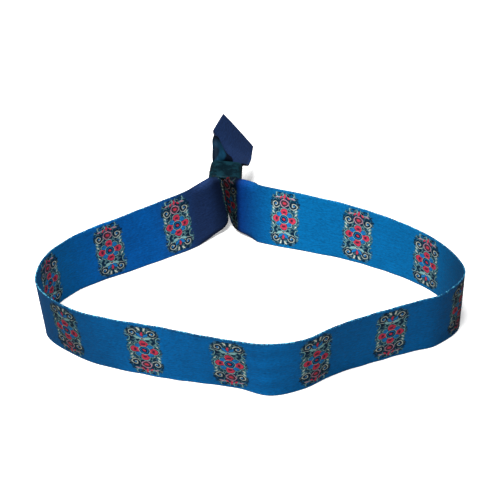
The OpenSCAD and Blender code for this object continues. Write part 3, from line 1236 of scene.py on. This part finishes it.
@dataclass
class Selvedge:
    """The small loops of thread that bind both woven edges, set along them by Geometry Nodes."""

    ribbon: Ribbon
    pitch: float = 0.62
    thread_radius: float = 0.085
    reach: float = 0.3
    half_depth: float = 0.2
    # How far a thread's ends lie inside the edge, as a share of its reach, and how far it slants, as a
    # share of its half depth; then its steps along and round
    inward: float = -0.9
    slant: float = 0.9
    bend_steps: int = 6
    round_steps: int = 5
    # How far from the cut ends the threads stop
    margin: float = 0.3
    # The shares of their size that the threads come in
    smallest: Triple = (0.8, 0.7, 0.85)
    largest: Triple = (1.15, 1.5, 1.1)
    seed: int = 7

    def inputs(self, finish: Material) -> Sockets:
        """Lists the tree's inputs.

        Args:
            finish: The threads' material.

        Returns:
            The socket type and the value of each; the points have no value of their own.
        """
        sizes = {"Thread Radius": self.thread_radius, "Reach": self.reach, "Half Depth": self.half_depth}
        return {
            "Points": (GEOMETRY, None),
            **{name: (FLOAT, value * MM) for name, value in sizes.items()},
            "Seed": ("NodeSocketInt", self.seed),
            "Thread Finish": ("NodeSocketMaterial", finish),
        }

    def tree(self, inputs: Sockets) -> Tree:
        """Builds the tree that puts one bent thread on each point of a line of points.

        Args:
            inputs: Its inputs.

        Returns:
            The tree.
        """
        tree = Group("SelvedgeLoops", inputs, {"Loops": (GEOMETRY, None)}, "GeometryNodeTree")
        points, radius, reach, depth, seed, finish = (tree.given[name] for name in inputs)
        inward, slant = reach * self.inward, depth * self.slant
        bend = {
            "Resolution": self.bend_steps,
            "Start": tree.combine(inward, slant * -1.0, depth * -1.0),
            "Middle": tree.combine(reach),
            "End": tree.combine(inward, slant, depth),
        }
        bent = tree.out("GeometryNodeCurveQuadraticBezier", bend)
        round_feeds = {"Resolution": self.round_steps, "Radius": radius}
        circle = tree.out("GeometryNodeCurvePrimitiveCircle", round_feeds)
        tube = {"Curve": bent, "Profile Curve": circle, "Fill Caps": True}
        face, side = (
            tree.out("GeometryNodeInputNamedAttribute", {"Name": name}, data_type="FLOAT_VECTOR")
            for name in ("face_way", "edge_way")
        )
        size = {0: self.smallest, 1: self.largest, "Seed": seed}
        scatter = {
            "Points": points,
            "Instance": tree.out("GeometryNodeCurveToMesh", tube),
            "Rotation": tree.out(
                "FunctionNodeAxesToRotation", {0: face, 1: side}, primary_axis="Z", secondary_axis="X",
            ),
            "Scale": tree.out("FunctionNodeRandomValue", size, data_type="FLOAT_VECTOR"),
        }
        loops = tree.out("GeometryNodeInstanceOnPoints", scatter)
        loops = tree.out("GeometryNodeRealizeInstances", {0: loops})
        loops = tree.out("GeometryNodeSetShadeSmooth", {0: loops})
        loops = tree.out("GeometryNodeSetMaterial", {"Geometry": loops, "Material": finish})
        return tree.finished({"Loops": loops})

    def points(self) -> Mesh:
        """Makes the points along both edges, with the ways that each thread needs.

        Returns:
            A mesh of points only.
        """
        stations = self.ribbon.stations
        count = int(stations[-1] / self.pitch)
        even = np.linspace(self.margin, stations[-1] - self.margin, count)

        def spread(edges: tuple[Array, ...]) -> Array:
            """Returns what each edge has at the stations, at the even places."""
            return np.hstack([[np.interp(even, stations, column) for column in edge.T] for edge in edges]).T

        places, sides, faces = map(spread, zip(*map(self.ribbon.edge_lines, Edge)))
        printed = np.interp(even, stations, self.ribbon.print_place)
        mesh = new_mesh("selvedge_points", places, [])
        write_attribute(mesh, "face_way", unit(faces))
        write_attribute(mesh, "edge_way", unit(sides))
        write_attribute(mesh, Ribbon.PRINT_PLACE, np.tile(printed, len(Edge)))
        return mesh

    def build(self, finish: Material) -> Piece:
        """Makes the edge threads' piece, as one plain mesh without the modifier.

        Args:
            finish: The threads' material.

        Returns:
            The piece.
        """
        inputs = self.inputs(finish)
        carrier = linked("selvedge_carrier", self.points())
        modifier = carrier.modifiers.new("loops", "NODES")
        modifier.node_group = self.tree(inputs)
        for item in modifier.node_group.interface.items_tree:
            if inputs.get(item.name, (None, None))[1] is not None:
                modifier[item.identifier] = inputs[item.name][1]
        bpy.context.view_layer.update()
        evaluated = carrier.evaluated_get(bpy.context.evaluated_depsgraph_get())
        mesh = bpy.data.meshes.new_from_object(evaluated)
        mesh.name = "selvedge_threads"
        carrier.modifiers.remove(modifier)
        bpy.data.objects.remove(carrier)
        return linked("selvedge_threads", mesh)


# ---------------------------------------------------------------- the slide lock


@dataclass
class SlideLock:
    """The moulded lock: a short block with soft edges, a flared passage and gripping teeth in it."""

    place: LockPlace
    edge: float = 0.55
    edge_steps: int = 4
    corner_steps: int = 8
    flare: float = 0.3
    # How far the sides bulge, the parting seam's height over them, which is half its width too, and how
    # far from the seam's middle its slopes begin
    belly: float = 0.12
    seam: float = 0.06
    seam_reach: float = 0.2
    # The teeth: height, length, half width, how far their foot and the low end of their slope are sunk,
    # how many there are along and across, where the first ones start, and their distances across and along
    tooth_height: float = 0.2
    tooth_length: float = 1.1
    tooth_half_width: float = 0.32
    tooth_sunk: float = 0.15
    tooth_toe: float = 0.1
    tooth_rows: int = 3
    tooth_columns: int = 5
    tooth_start: float = 1.6
    tooth_pitch: Pair = (1.25, 2.1)

    def outline(self, half_width: float, half_height: float, corner: float) -> Array:
        """Returns the outline of a rectangle with round corners.

        Args:
            half_width: Half its width.
            half_height: Half its height.
            corner: Its corners' radius.

        Returns:
            The points, as distances to the side and up of its middle.
        """
        points = []
        for number, (sx, sy) in enumerate(((1, 1), (-1, 1), (-1, -1), (1, -1))):
            for step in range(self.corner_steps + 1):
                angle = math.pi / 2 * (number + step / self.corner_steps)
                x = sx * (half_width - corner) + corner * math.cos(angle)
                points.append((x, sy * (half_height - corner) + corner * math.sin(angle)))
        return np.array(points)

    def profile(self) -> list[tuple[bool, float, float]]:
        """Returns the wall's own section.

        Returns:
            Its steps, each as on the outside or not, inset, and distance from the mouth.
        """
        long, flare, belly = self.place.length, self.flare, -self.belly
        angles = [math.pi / 2 * k / self.edge_steps for k in range(self.edge_steps + 1)]
        # Both from the mouth inwards: the soft edge and the belly with its seam, and the flare
        outside = [(self.edge * (1 - math.sin(a)), self.edge * (1 - math.cos(a))) for a in angles]
        outside += [(belly * 0.7, long * 0.2), (belly, long / 2 - self.seam_reach)]
        outside += [(belly - self.seam, long / 2 - self.seam)]
        passage = [(-flare, 0.0), (-flare * 0.3, flare * 0.6), (0.0, 2 * flare)]
        outside += [(inset, long - deep) for inset, deep in reversed(outside)]
        passage = [(inset, long - deep) for inset, deep in passage] + passage[::-1]
        return [(True, *step) for step in outside] + [(False, *step) for step in passage]

    def mesh(self) -> Mesh:
        """Builds the block as one closed wall, and the teeth on the passage's floor and roof.

        Returns:
            The mesh.
        """
        place = self.place
        origin = np.array(place.mouth) + TO_ROW
        half_width, half_height = place.width / 2, place.height / 2
        rings = []
        for on_outside, inset, deep in self.profile():
            wall = inset if on_outside else place.wall + inset
            corner = (place.corner if on_outside else place.passage_corner) - inset
            flat = self.outline(half_width - wall, half_height - wall, corner)
            rings.append(origin + flat[:, :1] * place.side + flat[:, 1:] * place.up + deep * place.way)
        points = np.concatenate(rings)
        faces = wall_faces(len(rings), len(rings[0]), closed=True).tolist()
        teeth_points, teeth_faces = self.teeth(origin, len(points))
        return new_mesh("lock", np.concatenate([points, teeth_points]), faces + teeth_faces)

    def teeth(self, origin: Array, first: int) -> tuple[Array, list[list[int]]]:
        """Makes the wedge teeth, which slope up towards the tails.

        Args:
            origin: The middle of the lock's mouth.
            first: The number of their first point.

        Returns:
            Their points and their faces.
        """
        place = self.place
        roof = place.height / 2 - place.wall
        box = ((0, 1, 3, 2), (2, 3, 5, 4), (4, 5, 7, 6), (6, 7, 1, 0), (0, 2, 4, 6), (7, 5, 3, 1))
        points, faces = [], []
        for sign, row, column in product((1, -1), range(self.tooth_rows), range(self.tooth_columns)):
            start = self.tooth_start + self.tooth_pitch[1] * row
            end = start + self.tooth_length
            base = first + len(points)
            foot, top = self.tooth_sunk, -self.tooth_height
            for deep, sunk in ((start, foot), (end, foot), (end, top), (start, self.tooth_toe)):
                for half in (-self.tooth_half_width, self.tooth_half_width):
                    x = (column - self.tooth_columns // 2) * self.tooth_pitch[0] + half
                    level = origin + x * place.side + sign * (roof + sunk) * place.up
                    points.append(level + deep * place.way)
            faces += [[base + k for k in quad[::sign]] for quad in box]
        return np.array(points), faces

    def build(self, finish: SmokyPlastic) -> Piece:
        """Makes the lock's piece, with its faces pointing outwards.

        Args:
            finish: The lock's finish.

        Returns:
            The piece.
        """
        piece = linked("lock", self.mesh())
        shape = bmesh.new()
        shape.from_mesh(piece.data)
        bmesh.ops.recalc_face_normals(shape, faces=shape.faces)
        shape.to_mesh(piece.data)
        shape.free()
        piece.data.shade_smooth()
        piece.modifiers.new("keep_flats", "WEIGHTED_NORMAL").keep_sharp = True
        mouth = (np.array(self.place.mouth) + TO_ROW) * MM
        piece.data.materials.append(finish.build(mouth, self.place.way))
        return piece


# ---------------------------------------------------------------- the studio


@dataclass(frozen=True)
class Studio:
    """The floor, the light and the camera; places and sizes are metres."""

    camera_place: Triple = (0.0009636, -0.2478894, 0.2162998)
    look_down: float = 40.0
    tilt: float = -3.1
    # Focal length and sensor width, in millimetres, and the nearest and farthest depth seen
    lens: float = 79.2
    sensor: float = 36.0
    clip: Pair = (0.01, 20.0)
    ambient: float = 0.17
    key_power: float = 25.0
    key_place: Triple = (-0.24, -0.23, 1.05)
    key_size: float = 0.6
    half_floor: float = 3.0
    # The floor as it shows to the camera, and how much of the light it throws back, which is less
    pale: float = 0.93
    bounce: float = 0.16
    # Light that the floor shows of its own, so that shadows on it stay faint
    glow: float = 0.35

    def floor(self) -> None:
        """Makes the plain pale floor."""
        corners = np.array([(-1, -1, 0), (1, -1, 0), (1, 1, 0), (-1, 1, 0)])
        piece = linked("floor", new_mesh("floor", corners * (self.half_floor / MM), [(0, 1, 2, 3)]))
        finish = Finish("floor")
        seen = finish.out("ShaderNodeLightPath", {}, "Is Camera Ray")
        finish.feed(finish.shader, {
            "Base Color": finish.mix(seen, grey(self.bounce), grey(self.pale)),
            "Emission Color": finish.mix(seen, grey(0.0), grey(1.0)),
            "Emission Strength": self.glow,
            "Roughness": 0.9,
            "Specular IOR Level": 0.0,
        })
        piece.data.materials.append(finish.material)

    def light(self) -> None:
        """Sets the even surrounding light, and a large soft lamp from the upper left front."""
        world = bpy.data.worlds.new("studio")
        world.use_nodes = True
        background = world.node_tree.nodes["Background"]
        Graph(world.node_tree).feed(background, {"Color": grey(1.0), "Strength": self.ambient})
        bpy.context.scene.world = world
        lamp = bpy.data.lights.new("key", "AREA")
        lamp.shape = "DISK"
        lamp.size = self.key_size
        lamp.energy = self.key_power
        at = Vector(self.key_place)
        turn = (-at).to_track_quat("-Z", "Y").to_matrix().to_4x4()
        linked("key", lamp).matrix_world = Matrix.Translation(at) @ turn

    def camera(self) -> None:
        """Sets the camera as the photograph has it: 40 degrees down, and turned a little."""
        data = bpy.data.cameras.new("camera")
        data.lens = self.lens
        data.sensor_width = self.sensor
        data.clip_start, data.clip_end = self.clip
        camera = linked("camera", data)
        down = Matrix.Rotation(math.radians(90.0 - self.look_down), 4, "X")
        roll = Matrix.Rotation(math.radians(self.tilt), 4, "Z")
        camera.matrix_world = Matrix.Translation(self.camera_place) @ down @ roll
        bpy.context.scene.camera = camera

    def build(self) -> None:
        """Sets up the whole studio."""
        self.camera()
        self.light()
        self.floor()
        bpy.context.scene.view_settings.view_transform = "Standard"


def main() -> None:
    """Builds the studio, the ribbon with its edge threads, and the lock."""
    logging.basicConfig(level=logging.INFO, format="%(name)s: %(message)s")
    Studio().build()
    place = LockPlace()
    satin = PrintedSatin(SatinWeave().group(), Cartouche(CartoucheDyes()).group())
    thread = SelvedgeThread().build(satin)
    ribbon = Ribbon(lock=place)
    cloth = ribbon.build(satin, thread)
    threads = Selvedge(ribbon).build(thread)
    lock = SlideLock(place).build(SmokyPlastic())
    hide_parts("ribbon_band")
    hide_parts("slide_lock")
    for piece, slot in ((cloth, "printed_ribbon"), (threads, "printed_ribbon"), (lock, "lock_plastic")):
        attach(piece, BODY)
        LOG.info("%s: %d faces", piece.name, len(piece.data.polygons))


if __name__ == "__main__":
    main()
